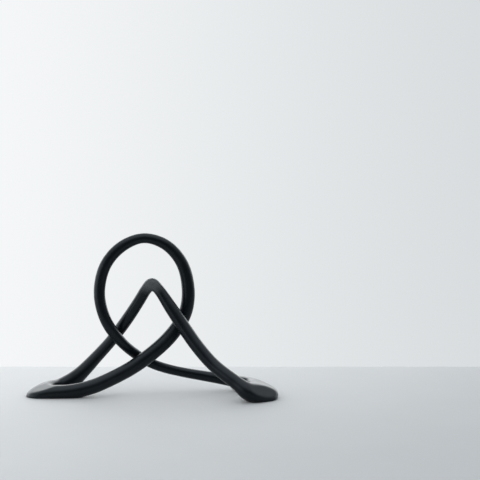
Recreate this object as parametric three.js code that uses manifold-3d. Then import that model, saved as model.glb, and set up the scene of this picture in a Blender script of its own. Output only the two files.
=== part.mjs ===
// A free-standing ornament: one closed strand of black cast resin, tied as a trefoil knot.
// Millimetres, +Z up, +X to the right, +Y to the back. The origin is under the middle of the part.
import * as THREE from 'three';
import { mergeVertices } from 'three/addons/utils/BufferGeometryUtils.js';
import loadManifold from 'manifold-3d';

// Driving dimensions of the knot's centre line.
const LEFT_REACH = 124; // from the middle to the turn in the left foot
const RIGHT_REACH = 123; // from the middle to the turn in the right foot
const ARCH_HEIGHT = 132.5; // apex of the pointed arch
const ARCH_SHIFT = 0.5; // apex of the arch, to the right of the middle
const LOOP_TOP = 187;
const LOOP_WAIST = 125; // height at which the loop is widest
const LOOP_HALF_WIDTH = 52.5;
const LOOP_SHIFT = -9.5; // middle of the loop, to the right of the middle
const LOOP_LANE = -0.1; // middle of the loop, in lanes towards the back
const LOOP_SKEW = 0.6; // right side of the loop behind its middle, in lanes

// The strand and the room that its stretches leave each other.
const STRAND = 14.3; // usual thickness
const THICKEST = 1.2; // thickest stretch at a crossing, in strand thicknesses
const CROSSING_GAP = 4; // air between two stretches that cross
const LANE = (STRAND * THICKEST + CROSSING_GAP) / 2; // one step towards the front or the back
const TOE_SQUARENESS = 0.3; // 0 keeps a toe's section an ellipse, and 1 makes it a box

// The armature, the glued joints and the pads.
const ROD_DIAMETER = 4;
const ROD_CLEARANCE = 0.3; // between a rod and its bore
const PEG_LENGTH = 14; // how far a rod stands out into the next casting
const ROD_END_GAP = 1; // between a peg and the rod that stops short of it
const JOINT_GAP = 0.3; // glue between two castings
const CHAMFER = 2; // groove round a joint, on each casting
const FILLER_CLEARANCE = 0.25;
const PAD_DIAMETER = 9;
const PAD_THICKNESS = 0.6;
const PAD_GLUE = 0.1;
const PAD_OFFSET = 0.35; // towards the toe, as a share of the toe's length
const FLAT_CUT = 2.5; // depth of the flat cut under a foot as thick as that
const LEFT_FACE = 0.525; // face rubbed on the left toe, from the centre line, in strand thicknesses
const RIGHT_FACE = 0.98; // face rubbed on the right toe, likewise
const FACE_REACH = 1.6; // half the width of the block that rubs a face, in strand thicknesses
const FLAT_HEIGHT = PAD_THICKNESS + PAD_GLUE; // flats of the feet above the table
const FOOT_LEVEL = FLAT_HEIGHT + (STRAND * THICKEST) / 2 - FLAT_CUT; // centre line in the feet

// How finely the curved surfaces are divided.
const SKIN_SIDES = 20;
const SKIN_STEP = 8;
const SKIN_TURN = 9; // degrees
const ROD_SIDES = 8;
const ROD_STEP = 12;
const ROD_TURN = 18;
const PAD_SIDES = 24;

const UP = new THREE.Vector3(0, 0, 1);
const BACK = new THREE.Vector3(0, 1, 0);
const LEANING_UP = new THREE.Vector3(0, 0.4, 0.9);
const LEANING = new THREE.Vector3(0, 0.7, 0.7);
const LEANING_BACK = new THREE.Vector3(0, 0.9, 0.4);
const LEFT_TILT = new THREE.Vector3(-0.27, -0.06, 1);
const RIGHT_TILT = new THREE.Vector3(0.28, 0, 1);
const LEFT_FACING = new THREE.Vector3(-0.27, -0.16, 0.95);
const RIGHT_FACING = new THREE.Vector3(0.57, -0.51, 0.65);

// One waypoint of the strand. The lane is its place between front and back, the thickness is in strand
// thicknesses, and the toe draws the section out to one side.
function waypoint(x, lane, z, thickness, { toe = 0, faces = UP, name = '' } = {}) {
  return {
    name,
    place: new THREE.Vector3(x, lane * LANE, z),
    section: new THREE.Vector3(thickness * STRAND, toe, 0),
    faces,
  };
}

// A height between the feet and a top, given as a share of the rise.
function rise(top, share) {
  return FOOT_LEVEL + share * (top - FOOT_LEVEL);
}

// A waypoint of the pointed arch or of its two legs.
function onArch(x, lane, share, thickness, more) {
  return waypoint(x, lane, rise(ARCH_HEIGHT, share), thickness, more);
}

// A waypoint of the low legs that run from the loop to the feet.
function onLowLeg(x, lane, share, thickness, more) {
  return waypoint(x, lane, rise(LOOP_WAIST, share), thickness, more);
}

// A waypoint on a flank of the loop, below its waist.
function onFlank(side, lane, share, thickness, more) {
  const x = LOOP_SHIFT + side * LOOP_HALF_WIDTH;
  return waypoint(x, lane, rise(LOOP_WAIST, share), thickness, { faces: BACK, ...more });
}

// A waypoint on the upper half of the loop, which is half an ellipse that a share below 1 flattens a little.
function onLoop(degrees, thickness, share = 1) {
  const angle = THREE.MathUtils.degToRad(degrees);
  const x = LOOP_SHIFT + share * LOOP_HALF_WIDTH * Math.cos(angle);
  const z = LOOP_WAIST + share * (LOOP_TOP - LOOP_WAIST) * Math.sin(angle);
  return waypoint(x, LOOP_LANE + LOOP_SKEW * Math.cos(angle), z, thickness, { faces: BACK });
}

// The closed route of the strand, from the apex of the arch down the front right leg and on round the knot.
const ROUTE = [
  onArch(ARCH_SHIFT, -0.6, 1.004, 0.98),
  onArch(0.066 * RIGHT_REACH, -0.7, 0.953, 0.92),
  onArch(0.188 * RIGHT_REACH, -1.2, 0.782, 1.06),
  onArch(0.318 * RIGHT_REACH, -1.7, 0.597, 1.11),
  onArch(0.448 * RIGHT_REACH, -2.4, 0.427, 1.1),
  onArch(0.602 * RIGHT_REACH, -3.2, 0.267, 1.09),
  onArch(0.812 * RIGHT_REACH, -4.45, 0.124, 1.14),
  onLowLeg(0.935 * RIGHT_REACH, -4.65, 0.042, 1.48, { toe: -0.4, faces: RIGHT_TILT }),
  onLowLeg(0.985 * RIGHT_REACH, -3.4, 0.029, 1.44, { toe: -1.7, faces: RIGHT_TILT, name: 'right_front' }),
  onLowLeg(RIGHT_REACH, -1.2, 0.016, 1.28, { toe: -1.85, faces: RIGHT_TILT }),
  onLowLeg(0.945 * RIGHT_REACH, 1.3, 0.009, 1.17, { toe: -1.5, faces: RIGHT_TILT, name: 'right_back' }),
  onLowLeg(0.74 * RIGHT_REACH, 1.8, 0.05, 0.96),
  onLowLeg(0.535 * RIGHT_REACH, 1.8, 0.088, 0.89),
  onLowLeg(0.29 * RIGHT_REACH, 1.6, 0.136, 0.82),
  onLowLeg(0.084 * RIGHT_REACH, 1.2, 0.195, 0.83, { faces: LEANING_UP }),
  onLowLeg(-0.053 * RIGHT_REACH, 1, 0.257, 0.84, { faces: LEANING, name: 'leg_joint' }),
  onLowLeg(-0.173 * RIGHT_REACH, 0.55, 0.345, 0.87, { faces: LEANING_BACK }),
  onFlank(-0.478, -0.2, 0.454, 0.88),
  onFlank(-0.77, -0.85, 0.631, 0.95),
  onFlank(-0.935, -0.9, 0.8, 0.94),
  onLoop(180, 0.945),
  onLoop(150, 0.97, 0.987),
  onLoop(120, 0.95, 0.975),
  onLoop(90, 0.84),
  onLoop(60, 0.935),
  onLoop(30, 1.01),
  onLoop(0, 1.09),
  onFlank(0.952, 0.45, 0.789, 1.12),
  onFlank(0.811, 0.3, 0.659, 1.16, { name: 'arch_joint' }),
  onFlank(0.581, -0.1, 0.523, 1.2, { faces: LEANING_BACK }),
  onLowLeg(0.02 * LEFT_REACH, -0.75, 0.381, 1.2, { faces: LEANING }),
  onLowLeg(-0.169 * LEFT_REACH, -1.25, 0.24, 1.2, { faces: LEANING_UP }),
  onLowLeg(-0.374 * LEFT_REACH, -1.8, 0.127, 1.18),
  onLowLeg(-0.564 * LEFT_REACH, -2.2, 0.047, 1.2),
  onLowLeg(-0.766 * LEFT_REACH, -2.4, 0.002, 1.2),
  onLowLeg(-0.93 * LEFT_REACH, -2.15, -0.008, 1.18, { toe: 0.5, faces: LEFT_TILT }),
  onLowLeg(-LEFT_REACH, -1.3, -0.014, 1.13, { toe: 2.2, faces: LEFT_TILT, name: 'left_front' }),
  onLowLeg(-0.995 * LEFT_REACH, 0.5, 0, 1.07, { toe: 1.05, faces: LEFT_TILT }),
  onLowLeg(-0.92 * LEFT_REACH, 1.8, -0.004, 1.1, { toe: 0.55, faces: LEFT_TILT, name: 'left_back' }),
  onArch(-0.798 * LEFT_REACH, 2.4, 0.04, 1.35, { toe: 0.1 }),
  onArch(-0.702 * LEFT_REACH, 2.3, 0.122, 1.2),
  onArch(-0.566 * LEFT_REACH, 1.9, 0.264, 1.04),
  onArch(-0.419 * LEFT_REACH, 1.4, 0.425, 0.97),
  onArch(-0.335 * LEFT_REACH, 1.05, 0.532, 1, { name: 'loop_joint' }),
  onArch(-0.23 * LEFT_REACH, 0.6, 0.676, 1),
  onArch(-0.118 * LEFT_REACH, 0.1, 0.845, 0.96),
  onArch(-0.05 * LEFT_REACH, -0.35, 0.953, 0.95),
];

const centreLine = new THREE.CatmullRomCurve3(ROUTE.map((stop) => stop.place), true);
const sections = new THREE.CatmullRomCurve3(ROUTE.map((stop) => stop.section), true, 'catmullrom');
const facings = new THREE.CatmullRomCurve3(ROUTE.map((stop) => stop.faces), true, 'catmullrom');

// The strand's parameter at a named waypoint.
function parameterOf(name) {
  return ROUTE.findIndex((stop) => stop.name === name) / ROUTE.length;
}

// The parameter at a distance along the strand from another one, found in small strides.
function along(parameter, distance) {
  const strides = 16;
  const probe = 1e-4;
  let found = parameter;
  for (let i = 0; i < strides; i += 1) {
    const speed = centreLine.getPoint(found + probe).distanceTo(centreLine.getPoint(found)) / probe;
    found += distance / strides / speed;
  }
  return found;
}

// The angle in degrees by which the strand turns between two waypoints.
function turnAfter(index) {
  const here = centreLine.getTangent(index / ROUTE.length);
  const there = centreLine.getTangent((index + 1) / ROUTE.length);
  return THREE.MathUtils.radToDeg(here.angleTo(there));
}

// Parameters from start to end, with stations between the two at most about a step and a turn apart.
function stations(start, end, step, turn) {
  const margin = 0.15 / ROUTE.length;
  const inner = [];
  for (let lap = 0; lap < 2; lap += 1) {
    ROUTE.forEach((stop, index) => {
      const next = ROUTE[(index + 1) % ROUTE.length];
      const distance = stop.place.distanceTo(next.place);
      const parts = Math.ceil(Math.max(distance / step, turnAfter(index) / turn));
      for (let part = 0; part < parts; part += 1) {
        inner.push(lap + (index + part / parts) / ROUTE.length);
      }
    });
  }
  return [start, ...inner.filter((t) => t > start + margin && t < end - margin), end];
}

// The strand's centre at a parameter, with the directions to the side and to the top of its section.
function frameAt(parameter) {
  const t = THREE.MathUtils.euclideanModulo(parameter, 1);
  const tangent = centreLine.getTangent(t);
  const side = facings.getPoint(t).cross(tangent).normalize();
  return { place: centreLine.getPoint(t), side, up: tangent.cross(side) };
}

// A ring of points round the strand. The shape gives a point's offset to the side and up for an angle.
function ring(parameter, sides, shape) {
  const { place, side, up } = frameAt(parameter);
  const points = [];
  for (let i = 0; i < sides; i += 1) {
    const [sideways, upward] = shape((2 * Math.PI * i) / sides);
    points.push(place.clone().addScaledVector(side, sideways).addScaledVector(up, upward));
  }
  return points;
}

// A sine or cosine that stays near its ends for longer, so that an ellipse turns squarer.
function squared(value, squareness) {
  return Math.sign(value) * Math.abs(value) ** (1 - squareness);
}

// The strand's own section at a parameter, drawn in all round by an inset. A toe makes it long and squarer.
function skinRing(parameter, inset = 0) {
  const { x: thickness, y: toe } = sections.getPoint(parameter);
  const radius = thickness / 2 - inset;
  const squareness = TOE_SQUARENESS * Math.min(Math.abs(toe), 1);
  return ring(parameter, SKIN_SIDES, (angle) => {
    const across = squared(Math.cos(angle), squareness);
    const reach = across > 0 ? 1 + Math.max(toe, 0) : 1 + Math.max(-toe, 0);
    return [radius * reach * across, radius * squared(Math.sin(angle), squareness)];
  });
}

function roundRing(parameter, diameter) {
  const radius = diameter / 2;
  return ring(parameter, ROD_SIDES, (angle) => [radius * Math.cos(angle), radius * Math.sin(angle)]);
}

// A mesh through a list of rings, which all have as many points. It closes on its first ring or is capped.
function skinOver(rings, closesOnItself = false) {
  const sides = rings[0].length;
  const points = rings.flat();
  const triangles = [];
  const bands = closesOnItself ? rings.length : rings.length - 1;
  for (let band = 0; band < bands; band += 1) {
    const here = band * sides;
    const there = ((band + 1) % rings.length) * sides;
    for (let i = 0; i < sides; i += 1) {
      const next = (i + 1) % sides;
      triangles.push(here + i, here + next, there + next, here + i, there + next, there + i);
    }
  }
  if (!closesOnItself) {
    const last = points.length - sides;
    for (let i = 1; i < sides - 1; i += 1) {
      triangles.push(0, i + 1, i, last, last + i, last + i + 1);
    }
  }
  const geometry = new THREE.BufferGeometry().setFromPoints(points);
  geometry.setIndex(triangles);
  return geometry;
}

const manifold = await loadManifold();
manifold.setup();

function toSolid(geometry) {
  const bare = geometry.clone();
  bare.deleteAttribute('normal');
  bare.deleteAttribute('uv');
  const merged = mergeVertices(bare);
  return new manifold.Manifold(new manifold.Mesh({
    numProp: 3,
    vertProperties: new Float32Array(merged.attributes.position.array),
    triVerts: new Uint32Array(merged.index.array),
  }));
}

function toGeometry(solid) {
  const mesh = solid.getMesh();
  const geometry = new THREE.BufferGeometry();
  geometry.setAttribute('position', new THREE.BufferAttribute(new Float32Array(mesh.vertProperties), 3));
  geometry.setIndex(new THREE.BufferAttribute(new Uint32Array(mesh.triVerts), 1));
  geometry.computeVertexNormals();
  return geometry;
}

const resin = new THREE.MeshStandardMaterial({ name: 'resin', color: 0x15181a, roughness: 0.36 });
const putty = new THREE.MeshStandardMaterial({ name: 'putty', color: 0x1a1d1f, roughness: 0.4 });
const steel = new THREE.MeshStandardMaterial({ name: 'steel', color: 0x8c8f92, roughness: 0.4 });
steel.metalness = 1;
const rubber = new THREE.MeshStandardMaterial({ name: 'rubber', color: 0x121212, roughness: 0.9 });

const sculpture = new THREE.Group();

function addPart(name, geometry, material) {
  const mesh = new THREE.Mesh(geometry, material);
  mesh.name = name;
  sculpture.add(mesh);
  return mesh;
}

// Everything below the flats of the feet.
const GROUND_SIZE = 4 * (LEFT_REACH + RIGHT_REACH);
const groundBlock = new THREE.BoxGeometry(GROUND_SIZE, GROUND_SIZE, GROUND_SIZE);
groundBlock.translate(0, 0, FLAT_HEIGHT - GROUND_SIZE / 2);
const ground = toSolid(groundBlock);

// What is rubbed off a toe: everything near a named waypoint that lies beyond a slanting face.
function rubbedOff(name, facing, distance) {
  const size = 2 * FACE_REACH * STRAND;
  const block = new THREE.BoxGeometry(size, size, size);
  block.translate(0, 0, distance * STRAND + size / 2);
  const turn = new THREE.Quaternion().setFromUnitVectors(UP, facing.clone().normalize());
  block.applyQuaternion(turn);
  const { x, y, z } = frameAt(parameterOf(name)).place;
  return toSolid(block.translate(x, y, z));
}

const leftToe = rubbedOff('left_front', LEFT_FACING, LEFT_FACE);
const rightToe = rubbedOff('right_front', RIGHT_FACING, RIGHT_FACE);

// A length of the strand between two joints: chamfered ends, a bore for its rod and a flat under its foot.
function casting(start, end) {
  const first = along(start, JOINT_GAP / 2);
  const last = along(end, -JOINT_GAP / 2);
  const body = stations(along(first, CHAMFER), along(last, -CHAMFER), SKIN_STEP, SKIN_TURN);
  const rings = [skinRing(first, CHAMFER), ...body.map((t) => skinRing(t)), skinRing(last, CHAMFER)];
  const boreDiameter = ROD_DIAMETER + 2 * ROD_CLEARANCE;
  const boreLine = stations(along(start, -CHAMFER), along(end, CHAMFER), ROD_STEP, ROD_TURN);
  const bore = toSolid(skinOver(boreLine.map((t) => roundRing(t, boreDiameter))));
  const rough = toSolid(skinOver(rings)).subtract(bore);
  return toGeometry(rough.subtract(ground).subtract(leftToe).subtract(rightToe));
}

// The bent rod of a casting: it starts behind the peg of the casting before, and ends as a peg in the next.
function rod(start, end) {
  const line = stations(along(start, PEG_LENGTH + ROD_END_GAP), along(end, PEG_LENGTH), ROD_STEP, ROD_TURN);
  return skinOver(line.map((t) => roundRing(t, ROD_DIAMETER)));
}

// The ring of putty in the groove round a joint.
function jointFiller(joint) {
  const depth = CHAMFER - FILLER_CLEARANCE;
  const rails = [skinRing(along(joint, -depth)), skinRing(along(joint, depth)), skinRing(joint, depth)];
  return skinOver(rails, true);
}

const legJoint = parameterOf('leg_joint');
const archJoint = parameterOf('arch_joint');
const loopJoint = parameterOf('loop_joint');
const lengths = [
  ['loop', legJoint, archJoint],
  ['left_foot', archJoint, loopJoint],
  ['right_foot', loopJoint, legJoint + 1],
];
for (const [name, start, end] of lengths) {
  addPart(`${name}_casting`, casting(start, end), resin);
  addPart(`${name}_rod`, rod(start, end), steel);
}

addPart('leg_joint_filler', jointFiller(legJoint), putty);
addPart('arch_joint_filler', jointFiller(archJoint), putty);
addPart('loop_joint_filler', jointFiller(loopJoint), putty);

// The pads under the two landings of each foot.
for (const corner of ['left_front', 'left_back', 'right_front', 'right_back']) {
  const disc = new THREE.CylinderGeometry(PAD_DIAMETER / 2, PAD_DIAMETER / 2, PAD_THICKNESS, PAD_SIDES);
  disc.rotateX(Math.PI / 2);
  const pad = addPart(`${corner}_pad`, disc, rubber);
  const { place, side } = frameAt(parameterOf(corner));
  const { x: thickness, y: toe } = sections.getPoint(parameterOf(corner));
  place.addScaledVector(side, (PAD_OFFSET * toe * thickness) / 2);
  pad.position.set(place.x, place.y, PAD_THICKNESS / 2);
}

// The origin goes to the middle of the part's box.
const box = new THREE.Box3().setFromObject(sculpture);
const middle = box.getCenter(new THREE.Vector3());
sculpture.position.set(-middle.x, -middle.y, 0);

export default sculpture;
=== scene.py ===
# %% [markdown]
# # A knot of satin black resin
#
# This lesson dresses a table ornament: one closed strand of black resin, tied as a trefoil knot. The solid
# model comes from a CAD program and is fixed. Its strand is made of short flat facets, which is fine for
# weighing and for collisions, but a satin surface shows every facet as a kink in its highlights. So most of
# the lesson is about turning those solids into smooth skins, and about the light that makes a black object
# readable.

# %% Load the solid model
import math

import bmesh
import bpy
import numpy as np
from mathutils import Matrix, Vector


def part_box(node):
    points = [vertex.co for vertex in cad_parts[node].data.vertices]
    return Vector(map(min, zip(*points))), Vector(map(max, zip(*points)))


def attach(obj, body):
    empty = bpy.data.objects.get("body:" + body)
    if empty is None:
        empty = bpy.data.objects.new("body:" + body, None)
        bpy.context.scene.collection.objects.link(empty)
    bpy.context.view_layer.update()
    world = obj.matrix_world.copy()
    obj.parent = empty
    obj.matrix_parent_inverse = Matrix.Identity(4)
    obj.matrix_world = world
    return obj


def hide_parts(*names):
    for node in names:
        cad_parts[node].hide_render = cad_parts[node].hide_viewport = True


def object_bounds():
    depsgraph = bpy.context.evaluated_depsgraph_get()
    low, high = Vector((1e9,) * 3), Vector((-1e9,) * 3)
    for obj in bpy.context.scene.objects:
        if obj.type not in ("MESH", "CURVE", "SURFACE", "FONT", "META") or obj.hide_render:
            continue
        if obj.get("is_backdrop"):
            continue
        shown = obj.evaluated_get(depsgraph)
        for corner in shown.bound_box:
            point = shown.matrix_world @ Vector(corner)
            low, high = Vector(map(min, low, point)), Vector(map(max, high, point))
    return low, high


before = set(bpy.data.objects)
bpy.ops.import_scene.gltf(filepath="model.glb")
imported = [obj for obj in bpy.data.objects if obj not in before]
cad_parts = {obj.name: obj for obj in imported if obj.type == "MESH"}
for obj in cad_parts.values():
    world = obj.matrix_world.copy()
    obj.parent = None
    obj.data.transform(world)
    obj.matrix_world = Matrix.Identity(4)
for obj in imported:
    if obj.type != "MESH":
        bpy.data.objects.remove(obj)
cad_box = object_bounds()
scene = bpy.context.scene
print("solids:", ", ".join(sorted(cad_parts)))

# %% [markdown]
# ## The camera
#
# The picture is taken from a little above the table with a long lens, so the two feet look almost level and
# the loop stays round. Blender gives a lens in millimetres on a 36 mm sensor: 90 mm is a mild telephoto. The
# camera stands to the right of the ornament and looks straight ahead, which puts the ornament left of the
# middle.

# %% Set up the camera
LENS = 90
SENSOR = 36
EYE = Vector((0.1045, -1.4116, 0.277))
LOOK_DOWN = math.radians(3.71)

camera_data = bpy.data.cameras.new("camera")
camera_data.lens = LENS
camera_data.sensor_width = SENSOR
camera = bpy.data.objects.new("camera", camera_data)
camera.location = EYE
camera.rotation_euler = (math.pi / 2 - LOOK_DOWN, 0, 0)
scene.collection.objects.link(camera)
scene.camera = camera
print("camera", tuple(round(value, 3) for value in EYE), "with a lens of", LENS, "mm")

# %% [markdown]
# ## Writing shaders as expressions
#
# A material is a graph of nodes, and a graph is tedious to write link by link. This small class wraps one
# socket of such a graph. Adding, subtracting or multiplying two of them adds a Math node, so a mask can be
# written as a formula. Every other kind of node comes from its one method, `node`. The short functions below
# the class write what several materials need: a mix of two colours, a noise, a bump and the shader itself.


# %% A socket that can be used in a formula
class Wire:
    def __init__(self, tree, socket=None):
        self.tree = tree
        self.socket = socket

    def node(self, kind, settings=None, inputs=None, output=0):
        """Adds a node: its settings come first, then its sockets' values or links. Returns one output."""
        made = self.tree.nodes.new(kind)
        for name, value in (settings or {}).items():
            setattr(made, name, value)
        for name, value in (inputs or {}).items():
            if isinstance(value, Wire):
                self.tree.links.new(value.socket, made.inputs[name])
            else:
                made.inputs[name].default_value = value
        return Wire(self.tree, made.outputs[output] if made.outputs else None)

    def math(self, operation, *values):
        return self.node("ShaderNodeMath", {"operation": operation}, dict(enumerate(values)))

    def __add__(self, other):
        return self.math("ADD", self, other)

    def __radd__(self, other):
        return self.math("ADD", other, self)

    def __sub__(self, other):
        return self.math("SUBTRACT", self, other)

    def __rsub__(self, other):
        return self.math("SUBTRACT", other, self)

    def __mul__(self, other):
        return self.math("MULTIPLY", self, other)

    def __rmul__(self, other):
        return self.math("MULTIPLY", other, self)

    def between(self, low, high):
        """0 below low, 1 above high and a soft step between the two."""
        settings = {"interpolation_type": "SMOOTHSTEP"}
        return self.node("ShaderNodeMapRange", settings, {"Value": self, "From Min": low, "From Max": high})


def blank(owner):
    """Gives a material or a world an empty node tree to write in."""
    owner.use_nodes = True
    owner.node_tree.nodes.clear()
    return Wire(owner.node_tree)


def mix_colours(start, factor, low, high):
    """Goes from one colour to another. A colour is three numbers, or a wire from another node."""
    low, high = (colour if isinstance(colour, Wire) else (*colour, 1) for colour in (low, high))
    return start.node("ShaderNodeMix", {"data_type": "RGBA"}, {0: factor, 6: low, 7: high}, output=2)


def noise(place, scale, detail):
    """An uneven grey around one half. A larger scale makes finer spots."""
    return place.node("ShaderNodeTexNoise", inputs={"Vector": place, "Scale": scale, "Detail": detail})


def bump(height, strength):
    """Tilts the light on a surface as if the surface had this height in metres."""
    return height.node("ShaderNodeBump", inputs={"Height": height, "Strength": strength, "Distance": 1.0})


def end_in_shader(start, inputs):
    """Ends a material in one Principled shader."""
    shader = start.node("ShaderNodeBsdfPrincipled", inputs=inputs)
    start.node("ShaderNodeOutputMaterial", inputs={"Surface": shader})


print("sockets can now be used in formulas")

# %% [markdown]
# ## The table
#
# The ornament stands on a pale, dull table whose far edge shows as a faint line behind the feet. A slab with
# rounded edges is enough. Its colour greys slowly to the right and to the front, which is painted shade for
# the light falling off across the table. It is marked as stage, because it isn't part of the ornament.

# %% Make the table
TABLE_SIZE = Vector((3.2, 0.75, 0.04))
TABLE_FAR_EDGE = 0.2035
TABLE_ROUNDING = 0.002


def round_edges(bm, edges, radius):
    bmesh.ops.bevel(bm, geom=edges, offset=radius, segments=3, profile=0.5, affect="EDGES", material=-1)


def into_scene(bm, name):
    """Turns a finished bmesh into an object of the scene."""
    mesh = bpy.data.meshes.new(name)
    bm.to_mesh(mesh)
    bm.free()
    made = bpy.data.objects.new(name, mesh)
    scene.collection.objects.link(made)
    return made


bm = bmesh.new()
bmesh.ops.create_cube(bm, size=1)
bmesh.ops.scale(bm, vec=TABLE_SIZE, verts=bm.verts)
middle = Vector((0, TABLE_FAR_EDGE - TABLE_SIZE.y / 2, -TABLE_SIZE.z / 2))
bmesh.ops.translate(bm, vec=middle, verts=bm.verts)
round_edges(bm, bm.edges[:], TABLE_ROUNDING)
table = into_scene(bm, "table")
table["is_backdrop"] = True
print("table", tuple(round(value, 2) for value in TABLE_SIZE))

# %% Paint the table
# The paint runs from pale to grey: the grey end is painted shade for light falling off to the right and
# front.
TABLE_LIT_PALE = (0.74, 0.745, 0.75)
TABLE_SHADED_GREY = (0.43, 0.445, 0.455)
PAINTED_FALLOFF_RANGE = (-0.45, 0.7)
PAINTED_FALLOFF_TO_FRONT = 0.55
CLOUD_SCALE = 9.0
CLOUDINESS = 0.1
TABLE_ROUGHNESS = 0.75
TABLE_IOR = 1.2

table_paint = bpy.data.materials.new("table_paint")
start = blank(table_paint)
place = start.node("ShaderNodeTexCoord", output="Object")
rightward = start.node("ShaderNodeSeparateXYZ", inputs={0: place}, output="X")
backward = start.node("ShaderNodeSeparateXYZ", inputs={0: place}, output="Y")
cloud = (noise(place, CLOUD_SCALE, 3.0) - 0.5) * CLOUDINESS
# Painted shade: the table's colour greys to the right and to the front, where the light falls off.
painted_falloff = (rightward - backward * PAINTED_FALLOFF_TO_FRONT).between(*PAINTED_FALLOFF_RANGE) + cloud
colour = mix_colours(start, painted_falloff, TABLE_LIT_PALE, TABLE_SHADED_GREY)
end_in_shader(start, {"Base Color": colour, "Roughness": TABLE_ROUGHNESS, "IOR": TABLE_IOR})
table.data.materials.append(table_paint)
print("paint from", TABLE_LIT_PALE, "to", TABLE_SHADED_GREY)

# %% [markdown]
# ## The studio light
#
# A black object is drawn by what it mirrors, so this studio is made for mirrors. A pale wall stands all
# round, with a pale ceiling over it. The wall behind the ornament carries a wide strip of light, which only
# the camera doesn't see: it lights the table, and the flat toes mirror it. Three more things are there for
# mirrors alone. A soft box high in front draws the upper edges of the strand in grey, another one at the left
# draws its left sides, and the room straight in front is dim, so the sides that face the camera stay nearly
# black. The world does all of this: each part of it is a mask made from the direction of a ray, and the Light
# Path node says what kind of ray it is.

# %% Build the studio out of the world
WALL_LEFT = (0.93, 0.945, 0.955)
WALL_RIGHT = (0.67, 0.7, 0.715)
STRIP = (2.7, 2.76, 2.8)
CEILING = (0.76, 0.8, 0.83)
SOFT_BOX = (1.9, 1.95, 2.0)
DIM_FRONT = (0.08, 0.095, 0.105)

# Each pair is a soft edge: where it starts and where it ends, measured on the direction of a ray.
WALL_TURNS = (-0.3, 0.3)
STRIP_FOOT, STRIP_TOP, STRIP_SIDES = (-0.05, 0.2), (0.42, 0.66), (0.2, 0.6)
CEILING_EDGE = (0.45, 0.9)
DIM_EDGE = (-0.5, 0.5)
DIM_SLOPE = 1.6
FRONT_BOX_FOOT, FRONT_BOX_BACK = (0.6, 0.85), (0.1, 0.6)
LEFT_BOX_FOOT, LEFT_BOX_TOP, LEFT_BOX_SIDES = (-0.3, -0.1), (0.3, 0.6), (0.5, 0.8)

world = bpy.data.worlds.new("studio")
scene.world = world
start = blank(world)
direction = start.node("ShaderNodeTexCoord", output="Generated")
rightward = start.node("ShaderNodeSeparateXYZ", inputs={0: direction}, output="X")
backward = start.node("ShaderNodeSeparateXYZ", inputs={0: direction}, output="Y")
upward = start.node("ShaderNodeSeparateXYZ", inputs={0: direction}, output="Z")
seen_directly = start.node("ShaderNodeLightPath", output="Is Camera Ray")
mirrored = start.node("ShaderNodeLightPath", output="Is Glossy Ray")

wall = mix_colours(start, rightward.between(*WALL_TURNS), WALL_LEFT, WALL_RIGHT)
strip_height = upward.between(*STRIP_FOOT) * (1 - upward.between(*STRIP_TOP))
in_strip = strip_height * backward.between(*STRIP_SIDES) * (1 - seen_directly)
wall_and_strip = mix_colours(start, in_strip, wall, STRIP)
shell = mix_colours(start, upward.between(*CEILING_EDGE), wall_and_strip, CEILING)

not_in_front = (backward + upward * DIM_SLOPE).between(*DIM_EDGE)
bright = start.math("MAXIMUM", not_in_front, 1 - mirrored)
room = mix_colours(start, bright, DIM_FRONT, shell)
front_box = upward.between(*FRONT_BOX_FOOT) * (1 - backward.between(*FRONT_BOX_BACK))
left_box_height = upward.between(*LEFT_BOX_FOOT) * (1 - upward.between(*LEFT_BOX_TOP))
left_box = (0 - rightward).between(*LEFT_BOX_SIDES) * left_box_height
boxes = start.math("MAXIMUM", front_box, left_box) * mirrored
studio = mix_colours(start, boxes, room, SOFT_BOX)
sky = start.node("ShaderNodeBackground", inputs={"Color": studio, "Strength": 1.0})
start.node("ShaderNodeOutputWorld", inputs={"Surface": sky})
scene.view_settings.view_transform = "Standard"
print("studio of", len(world.node_tree.nodes), "nodes")

# %% [markdown]
# ## One soft lamp
#
# Light from all round makes almost no shadow, and an ornament without a shadow seems to float. One large
# lamp, behind the ornament and a little to the right, throws a weak shadow forward. Its size makes the
# shadow's edge soft, and it is hidden from the camera.

# %% Hang the lamp
LAMP_SIZE = (1.6, 1.2)
LAMP_POWER = 2.5
LAMP_PLACE = Vector((0.2, 1.2, 1.1))
LAMP_AIM = Vector((0, 0, 0.05))

lamp_data = bpy.data.lights.new("soft_lamp", "AREA")
lamp_data.shape = "RECTANGLE"
lamp_data.size, lamp_data.size_y = LAMP_SIZE
lamp_data.energy = LAMP_POWER
lamp = bpy.data.objects.new("soft_lamp", lamp_data)
lamp.location = LAMP_PLACE
lamp.rotation_euler = (LAMP_AIM - LAMP_PLACE).to_track_quat("-Z", "Y").to_euler()
lamp.visible_camera = False
scene.collection.objects.link(lamp)
print("lamp of", LAMP_POWER, "W at", tuple(round(value, 2) for value in LAMP_PLACE))

# %% [markdown]
# ## The castings put together
#
# The real strand was cast in three lengths, glued end to end, filled with putty at the joints and sanded
# until no joint could be felt. The quickest way to the same surface is the same order of work: put the
# solids together, close the hairline gaps, and sand the whole. Each solid swells by a fraction of a
# millimetre until it touches its neighbours, and a voxel remesh melts all of them into one even mesh. It
# also fills what can't be reached from outside, which here is the bore for the rods. Sanding would round
# the rims of the flat feet, so the flats go down by a few millimetres first, and the sanding wears on what
# will be cut off.

# %% Put the castings together
CASTINGS = ["loop_casting", "left_foot_casting", "right_foot_casting"]
FILLERS = ["leg_joint_filler", "arch_joint_filler", "loop_joint_filler"]
SWELL = 0.0002
VOXEL = 0.0008
SILL = 0.005
FLAT_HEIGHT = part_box("left_foot_casting")[0].z
STRAIGHT_DOWN = -0.999
SAME_PLACE = 1e-6
SAME_HEIGHT = 1e-5


def is_flat(face):
    """Whether a face belongs to the flat under a foot."""
    return face.normal.z < STRAIGHT_DOWN and face.calc_center_median().z < FLAT_HEIGHT + SAME_HEIGHT


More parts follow.
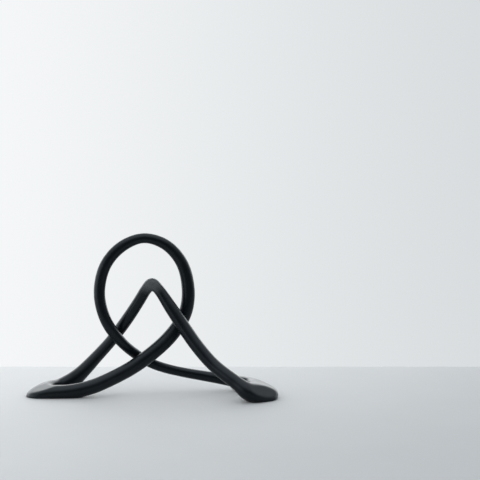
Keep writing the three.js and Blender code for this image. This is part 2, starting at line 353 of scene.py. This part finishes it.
def extrude(bm, faces, by):
    """Moves faces by a vector and draws walls behind them. Nothing is left where they were."""
    moved = bmesh.ops.extrude_face_region(bm, geom=faces)["geom"]
    bmesh.ops.translate(bm, vec=by, verts=[item for item in moved if isinstance(item, bmesh.types.BMVert)])
    bmesh.ops.delete(bm, geom=faces, context="FACES_ONLY")


bm = bmesh.new()
for name in CASTINGS + FILLERS:
    bm.from_mesh(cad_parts[name].data)
bmesh.ops.remove_doubles(bm, verts=bm.verts, dist=SAME_PLACE)
bm.normal_update()
flats = [face for face in bm.faces if is_flat(face)]
for vert in bm.verts:
    vert.co += vert.normal * SWELL
extrude(bm, flats, (0, 0, -SILL))
rough = into_scene(bm, "rough_knot")

remesh = rough.modifiers.new("melt", "REMESH")
remesh.mode = "VOXEL"
remesh.voxel_size = VOXEL
melted = bpy.data.meshes.new_from_object(rough.evaluated_get(bpy.context.evaluated_depsgraph_get()))
bpy.data.objects.remove(rough)
print(len(melted.polygons), "faces in one mesh")

# %% [markdown]
# ## Sanding
#
# Repeated smoothing takes the facets off, as sandpaper does. Smoothing also draws a round bar in, so the skin
# is pushed out again until it holds its first volume, and a little further, because flat facets cut the
# corners of a round bar. The solid folds a little inside the tightest turn, at the right foot, so that
# corner is sanded for longer. Each round reaches a little further out, so the extra sanding leaves no edge.

# %% Sand the strand
SANDING = 24
FACET_DEPTH = 0.0001
TIGHT_CORNER = Vector((0.1095, -0.026, 0.017))
CORNER_REACHES = (0.01, 0.012, 0.014, 0.016, 0.018)
CORNER_SANDING = 12


def surface_area(bm):
    return sum(face.calc_area() for face in bm.faces)


def sand(bm, verts, times):
    for _ in range(times):
        bmesh.ops.smooth_vert(
            bm, verts=verts, factor=0.5, use_axis_x=True, use_axis_y=True, use_axis_z=True
        )


skin = bmesh.new()
skin.from_mesh(melted)
volume = skin.calc_volume() - SWELL * surface_area(skin)
sand(skin, skin.verts, SANDING)
for reach in CORNER_REACHES:
    corner = [vert for vert in skin.verts if (vert.co - TIGHT_CORNER).length < reach]
    sand(skin, corner, CORNER_SANDING)
skin.normal_update()
lost = (volume - skin.calc_volume()) / surface_area(skin) + FACET_DEPTH
for vert in skin.verts:
    vert.co += vert.normal * lost
print(len(skin.faces), "faces, pushed out by", round(lost * 1000, 3), "mm after sanding")

# %% [markdown]
# ## Flat feet
#
# Each foot was rubbed flat so that the knot stands without rocking. A bisect does the same: it cuts
# everything below the height of the solids' own flats, which leaves a crisp rim, and the open cuts are
# filled.

# %% Cut the feet flat
ON_THE_PLANE = 1e-7

everything = skin.verts[:] + skin.edges[:] + skin.faces[:]
bmesh.ops.bisect_plane(
    skin,
    geom=everything,
    dist=ON_THE_PLANE,
    plane_co=(0, 0, FLAT_HEIGHT),
    plane_no=(0, 0, 1),
    clear_inner=True,
)
open_edges = [edge for edge in skin.edges if edge.is_boundary]
flats = bmesh.ops.holes_fill(skin, edges=open_edges, sides=0)["faces"]
print(len(flats), "flats at", round(FLAT_HEIGHT * 1000, 2), "mm")

# %% [markdown]
# ## Back to separate castings
#
# The skin is now one piece, and the ornament isn't: it has three castings and a ring of putty round each
# joint. The rings in the solid model say where to cut. The thinnest direction of a ring is the direction of
# the strand through it, so two cuts square to it, half a ring's width to either side, free the ring. Only
# faces close to the ring are cut, because the plane goes on through the rest of the knot.

# %% Cut the skin at the joints
RING_HALF_WIDTH = 0.00175
RING_REACH = 0.011


def ring_frame(name):
    """The middle of a putty ring, and the direction of the strand through it."""
    points = np.array([vert.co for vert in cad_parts[name].data.vertices])
    middle = points.mean(axis=0)
    widest_to_thinnest = np.linalg.svd(points - middle)[2]
    return Vector(middle), Vector(widest_to_thinnest[-1])


for name in FILLERS:
    middle, along = ring_frame(name)
    for side in (-1, 1):
        near = [face for face in skin.faces if (face.calc_center_median() - middle).length < RING_REACH]
        verts = [vert for face in near for vert in face.verts]
        edges = [edge for face in near for edge in face.edges]
        cut = bmesh.ops.bisect_plane(
            skin,
            geom=list(dict.fromkeys(verts + edges + near)),
            dist=ON_THE_PLANE,
            plane_co=middle + along * side * RING_HALF_WIDTH,
            plane_no=along,
        )["geom_cut"]
        seam = [item for item in cut if isinstance(item, bmesh.types.BMEdge)]
        bmesh.ops.split_edges(skin, edges=seam)
    print(name, "cut free at", tuple(round(value * 1000, 1) for value in middle))


# %% Sort the faces into pieces
def islands(bm):
    """The groups of faces that hang together, as sets of face numbers."""
    bm.faces.index_update()
    sorted_out = set()
    groups = []
    for first in bm.faces:
        if first.index in sorted_out:
            continue
        group = {first.index}
        to_visit = [first]
        while to_visit:
            face = to_visit.pop()
            touching = [other for edge in face.edges for other in edge.link_faces]
            to_visit += [other for other in touching if other.index not in group]
            group.update(other.index for other in touching)
        sorted_out |= group
        groups.append(group)
    return groups


groups = islands(skin)
print(len(groups), "loose pieces of", sorted(len(group) for group in groups), "faces")

# %% [markdown]
# ## Ends and sockets
#
# A cut leaves an open tube. Each end of a casting is closed and gets the socket that the steel rod plugs
# into: the end is inset to the width of the bore, and the inner face is pushed into the casting. A ring of
# putty is inset in the same way at both of its sides, and its two holes are joined by a bridge.

# %% Ways to close a casting and a ring
BORE_RADIUS = 0.0023
SOCKET_DEPTH = 0.014


def bored_caps(bm):
    """Closes the open ends, and leaves an inner face as wide as the bore in each."""
    open_edges = [edge for edge in bm.edges if edge.is_boundary]
    caps = bmesh.ops.holes_fill(bm, edges=open_edges, sides=0)["faces"]
    for cap in caps:
        middle = cap.calc_center_median()
        radius = sum((vert.co - middle).length for vert in cap.verts) / len(cap.verts)
        bmesh.ops.inset_region(bm, faces=[cap], thickness=radius - BORE_RADIUS, use_even_offset=True)
    return caps


def close_casting(bm):
    caps = bored_caps(bm)
    bm.normal_update()
    for cap in caps:
        extrude(bm, [cap], cap.normal * -SOCKET_DEPTH)


def close_ring(bm):
    caps = bored_caps(bm)
    holes = [edge for cap in caps for edge in cap.edges]
    bmesh.ops.delete(bm, geom=caps, context="FACES_ONLY")
    bmesh.ops.bridge_loops(bm, edges=holes)


print("sockets", round(BORE_RADIUS * 2000, 1), "mm wide and", round(SOCKET_DEPTH * 1000, 1), "mm deep")

# %% [markdown]
# ## Naming the pieces
#
# Each loose piece of skin takes the place of one solid, and the solid is found by its box: the box whose
# middle lies nearest. Shading is smooth all over, apart from the edges that really are sharp, such as the rim
# of a foot.

# %% Make each casting and each ring its own object
SHARP = math.radians(40)


def centre_of(corners):
    return (corners[0] + corners[1]) / 2


def nearest_node(bm):
    """The solid whose box lies where this mesh's box lies."""
    points = np.array([vert.co for vert in bm.verts])
    middle = centre_of((Vector(points.min(axis=0)), Vector(points.max(axis=0))))
    return min(CASTINGS + FILLERS, key=lambda node: (centre_of(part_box(node)) - middle).length)


def shade_smooth(bm):
    for face in bm.faces:
        face.smooth = True
    for edge in bm.edges:
        edge.smooth = edge.calc_face_angle(0) < SHARP


pieces = {}
for group in groups:
    bm = skin.copy()
    bmesh.ops.delete(bm, geom=[face for face in bm.faces if face.index not in group], context="FACES")
    name = nearest_node(bm)
    if name in CASTINGS:
        close_casting(bm)
    else:
        close_ring(bm)
    bmesh.ops.recalc_face_normals(bm, faces=bm.faces)
    shade_smooth(bm)
    still_open = sum(edge.is_boundary for edge in bm.edges)
    piece = into_scene(bm, name.replace("_filler", "_putty").replace("_casting", "_strand"))
    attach(piece, "root")
    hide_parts(name)
    pieces[name] = piece
    print(piece.name, len(piece.data.polygons), "faces,", still_open, "open edges")
skin.free()

# %% [markdown]
# ## The pads
#
# Thin discs of rubber under the feet keep the resin off the table. A disc punched out of a sheet has slightly
# rounded rims, so each is a short cylinder whose two rims are bevelled.

# %% Punch the pads
PADS = ["left_front_pad", "left_back_pad", "right_front_pad", "right_back_pad"]
PAD_RIM = 0.0002
PAD_SIDES = 64

for name in PADS:
    low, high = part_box(name)
    size = high - low
    radius = size.x / 2
    bm = bmesh.new()
    bmesh.ops.create_cone(
        bm, cap_ends=True, segments=PAD_SIDES, radius1=radius, radius2=radius, depth=size.z
    )
    rims = [edge for edge in bm.edges if abs(edge.verts[0].co.z - edge.verts[1].co.z) < SAME_PLACE]
    round_edges(bm, rims, PAD_RIM)
    bmesh.ops.translate(bm, vec=centre_of((low, high)), verts=bm.verts)
    shade_smooth(bm)
    pad = into_scene(bm, name + "_disc")
    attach(pad, "root")
    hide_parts(name)
    pieces[name] = pad
    print(pad.name, round(size.x * 1000, 1), "mm across")

# %% [markdown]
# ## The coat
#
# The coat is a satin black with a trace of blue. It was sprayed over resin that was sanded by hand, so it is
# never quite even: a slow waviness is left from the sanding, the spray has a fine orange peel, and handling
# polishes it a little in patches. All of it is weak, because the strand looks clean from a step away. The
# waviness and the peel go into the bump, the patches into the roughness and, very slightly, into the colour.
# One place is worn more: the top of the arch, where a hand lifts the knot, is rubbed to a dull grey, and the
# grey fades with the distance from there. This grey is partly wear and partly a painted highlight on the
# crown of the arch.

# %% Mix the satin black coat
COAT_DEEP = (0.0028, 0.004, 0.0052)
COAT_WORN = (0.006, 0.0078, 0.0094)
# A lighter grey for the crown of the arch: partly wear, partly a painted highlight.
COAT_RUBBED_HIGHLIGHT = (0.08, 0.084, 0.085)
COAT_SHINE = (0.78, 0.9, 1.0, 1)
COAT_IOR = 1.32
RUBBED_HIGHLIGHT_PLACE = (-0.001, 0.001, 0.135)
RUBBED_HIGHLIGHT_FADE = (0.005, 0.019)
RUBBED_HIGHLIGHT_EVENLY, RUBBED_HIGHLIGHT_IN_PATCHES = 0.6, 0.6
PATCH_SCALE, PATCH_RANGE = 34.0, (0.35, 0.75)
SPECK_SCALE, SPECK_RANGE = 2600.0, (0.62, 0.8)
PATCH_SHARE, SPECK_SHARE = 0.7, 0.3
WAVE_SCALE, WAVE_HEIGHT = 60.0, 0.0003
PEEL_SCALE, PEEL_HEIGHT = 900.0, 0.000012
BUMP_STRENGTH = 0.5
RESIN_ROUGHNESS, PUTTY_ROUGHNESS = 0.32, 0.34
WORN_ROUGHNESS, PEEL_ROUGHNESS, RUBBED_HIGHLIGHT_ROUGHNESS = 0.05, 0.06, 0.1


def satin_coat(name, roughness):
    material = bpy.data.materials.new(name)
    start = blank(material)
    place = start.node("ShaderNodeTexCoord", output="Object")
    waves = noise(place, WAVE_SCALE, 1.0)
    peel = noise(place, PEEL_SCALE, 2.0)
    patches = noise(place, PATCH_SCALE, 4.0)
    specks = noise(place, SPECK_SCALE, 1.0).between(*SPECK_RANGE)
    worn = patches.between(*PATCH_RANGE)
    to_arch = {0: place, 1: RUBBED_HIGHLIGHT_PLACE}
    away = start.node("ShaderNodeVectorMath", {"operation": "DISTANCE"}, to_arch, "Value")
    # Wear and painted highlight: the crown of the arch is painted a lighter grey that fades with the
    # distance.
    rubbed_highlight = (1 - away.between(*RUBBED_HIGHLIGHT_FADE)) * (RUBBED_HIGHLIGHT_EVENLY + patches * RUBBED_HIGHLIGHT_IN_PATCHES)
    fresh = mix_colours(start, worn * PATCH_SHARE + specks * SPECK_SHARE, COAT_DEEP, COAT_WORN)
    uneven_shine = (worn - 0.5) * WORN_ROUGHNESS + (peel - 0.5) * PEEL_ROUGHNESS
    end_in_shader(start, {
        "Base Color": mix_colours(start, rubbed_highlight, fresh, COAT_RUBBED_HIGHLIGHT),
        "Roughness": roughness + uneven_shine + rubbed_highlight * RUBBED_HIGHLIGHT_ROUGHNESS,
        "IOR": COAT_IOR,
        "Specular Tint": COAT_SHINE,
        "Normal": bump(waves * WAVE_HEIGHT + peel * PEEL_HEIGHT, BUMP_STRENGTH),
    })
    return material


resin_coat = satin_coat("satin_black_coat", RESIN_ROUGHNESS)
putty_coat = satin_coat("satin_black_putty", PUTTY_ROUGHNESS)
for name in CASTINGS + FILLERS:
    pieces[name].data.materials.clear()
    pieces[name].data.materials.append(resin_coat if name in CASTINGS else putty_coat)
print("coat on", ", ".join(pieces[name].name for name in CASTINGS + FILLERS))

# %% [markdown]
# ## Rubber and steel
#
# The rubber of the pads is dull, with the fine stipple of the mould and a little dust. The rods inside the
# strand are drawn steel: the die leaves fine scratches, and a film of oil makes the shine uneven. The rods
# keep the shape of the solid model, because nobody sees them, and only get their finish here.

# %% Finish the pads
RUBBER_BLACK = (0.005, 0.005, 0.005)
RUBBER_DUSTY = (0.012, 0.012, 0.012)
STIPPLE_SCALE, STIPPLE_HEIGHT, STIPPLE_STRENGTH = 2400.0, 0.00006, 0.6
DUST_SCALE, DUST_RANGE = 260.0, (0.4, 0.8)
RUBBER_ROUGHNESS, DUST_ROUGHNESS = 0.75, 0.2

rubber = bpy.data.materials.new("dull_rubber")
start = blank(rubber)
place = start.node("ShaderNodeTexCoord", output="Object")
stipple = noise(place, STIPPLE_SCALE, 2.0)
dust = noise(place, DUST_SCALE, 3.0)
end_in_shader(start, {
    "Base Color": mix_colours(start, dust.between(*DUST_RANGE), RUBBER_BLACK, RUBBER_DUSTY),
    "Roughness": RUBBER_ROUGHNESS + dust * DUST_ROUGHNESS,
    "Normal": bump(stipple * STIPPLE_HEIGHT, STIPPLE_STRENGTH),
})
for name in PADS:
    pieces[name].data.materials.append(rubber)
print("rubber on", ", ".join(PADS))

# %% Finish the rods
RODS = ["loop_rod", "left_foot_rod", "right_foot_rod"]
STEEL_DARK = (0.24, 0.245, 0.25)
STEEL_PALE = (0.31, 0.315, 0.32)
SCRATCH_SCALE, SCRATCH_HEIGHT, SCRATCH_STRENGTH = 1500.0, 0.00004, 0.4
OIL_SCALE, OIL_RANGE = 120.0, (0.3, 0.7)
STEEL_ROUGHNESS, OIL_ROUGHNESS = 0.3, 0.2

steel = bpy.data.materials.new("drawn_steel")
start = blank(steel)
place = start.node("ShaderNodeTexCoord", output="Object")
scratches = noise(place, SCRATCH_SCALE, 3.0)
oil = noise(place, OIL_SCALE, 2.0)
end_in_shader(start, {
    "Base Color": mix_colours(start, oil.between(*OIL_RANGE), STEEL_DARK, STEEL_PALE),
    "Metallic": 1.0,
    "Roughness": STEEL_ROUGHNESS + oil * OIL_ROUGHNESS,
    "Normal": bump(scratches * SCRATCH_HEIGHT, SCRATCH_STRENGTH),
})
for name in RODS:
    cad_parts[name].data.materials.clear()
    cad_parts[name].data.materials.append(steel)
print("steel on", ", ".join(RODS))

# %% [markdown]
# ## A last look at the size
#
# The dressed ornament has to be as large as the solid model, so both boxes are written down side by side.

# %% Print both boxes
dressed_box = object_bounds()
for name, (low, high) in (("solid", cad_box), ("dressed", dressed_box)):
    print(name, tuple(round(value * 1000, 1) for value in high - low), "mm")
